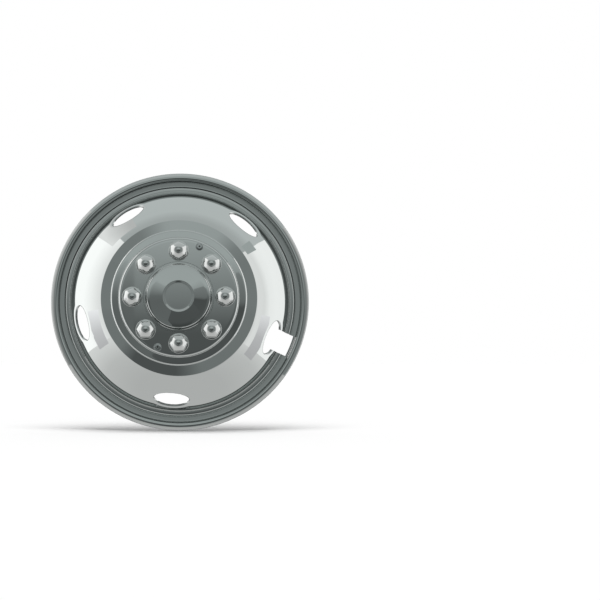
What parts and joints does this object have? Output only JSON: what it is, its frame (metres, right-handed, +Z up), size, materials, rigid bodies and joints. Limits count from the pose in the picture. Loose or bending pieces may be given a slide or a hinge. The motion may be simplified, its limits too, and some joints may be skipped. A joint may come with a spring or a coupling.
{
  "type": "truck wheel simulator",
  "caption": "Mirror-bright stamped steel wheel simulator with a domed dish, oval hand holes and a valve notch, a riveted hub cap and acorn lug covers, set over a truck's wheel.",
  "frame": {"origin": "on the wheel's axis in the plane where the liner's seat flange meets the rim", "axes": "+Y along the wheel's axis from the show side towards the vehicle, +Z up as it stands in the picture, +X to the viewer's right as the show side is looked at"},
  "size_m": [0.474, 0.115, 0.474],
  "materials": {
    "polished_stainless": "stamped stainless sheet, polished to a mirror on the show side",
    "chromed_steel": "pressed steel, chromium plated",
    "bare_stainless": "bare stainless, as drawn"
  },
  "bodies": {
    "root": {"wheel_liner": "polished_stainless", "hub_cap": "polished_stainless", "lug_cover_1": "chromed_steel", "lug_cover_2": "chromed_steel", "lug_cover_3": "chromed_steel", "lug_cover_4": "chromed_steel", "lug_cover_5": "chromed_steel", "lug_cover_6": "chromed_steel", "lug_cover_7": "chromed_steel", "lug_cover_8": "chromed_steel", "blind_rivets": "bare_stainless"}
  },
  "joints": []
}
